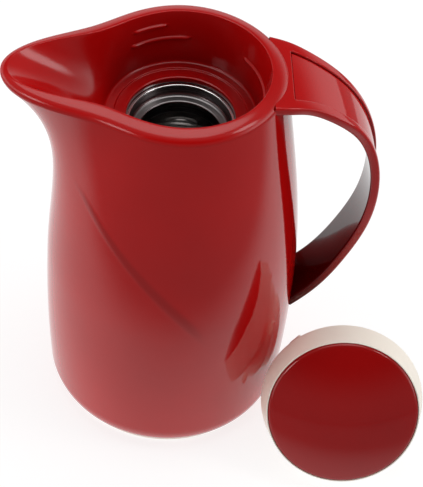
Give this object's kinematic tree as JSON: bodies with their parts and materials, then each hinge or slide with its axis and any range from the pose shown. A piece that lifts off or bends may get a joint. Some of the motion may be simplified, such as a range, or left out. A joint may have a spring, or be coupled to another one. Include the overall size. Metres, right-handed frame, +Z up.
{
  "type": "insulated jug",
  "caption": "Insulated pouring jug with a wide spout, ribbon handle, steel vacuum flask and a lift-out stopper lid lying beside it.",
  "frame": {"origin": "middle of the base on the surface the jug stands on", "axes": "+Z up along the jug's axis, -X towards the spout, +X towards the handle"},
  "size_m": [0.2278, 0.1575, 0.229],
  "materials": {
    "red_shell": "gloss",
    "red_collar": "gloss",
    "red_handle": "gloss",
    "red_panel": "gloss",
    "red_cap": "gloss",
    "fastener": "zinc plated",
    "steel_liner": "brushed",
    "steel_outer": "plain",
    "steel_lip": "polished",
    "seal_rubber": "matte",
    "cushion_rubber": "matte",
    "foot_rubber": "matte",
    "inner_plastic": "matte",
    "cream_base": "satin",
    "cream_skirt": "satin",
    "cream_plug": "satin",
    "foam": "foam",
    "silicone": "translucent white"
  },
  "bodies": {
    "jug": {"outer_shell": "red_shell", "pouring_collar": "red_collar", "handle_frame": "red_handle", "handle_grip_panel": "red_panel", "handle_screw": "fastener", "flask_inner": "steel_liner", "flask_neck": "steel_liner", "flask_outer": "steel_outer", "flask_lip_ring": "steel_lip", "flask_getter_cap": "steel_outer", "neck_seal": "seal_rubber", "flask_carrier": "inner_plastic", "flask_cushion": "cushion_rubber", "base_plate": "cream_base", "foot_ring": "foot_rubber", "base_screws": "fastener"},
    "lid": {"lid_cap": "red_cap", "lid_skirt": "cream_skirt", "lid_plug": "cream_plug", "lid_insulation": "foam", "lid_seal": "silicone", "lid_end_cap": "cream_plug"}
  },
  "joints": [
    {"name": "lid_lift", "type": "slide", "parent": "jug", "child": "lid", "axis": [0.3506, -0.5009, 0.7913], "range_m": [0, 0.26]}
  ]
}
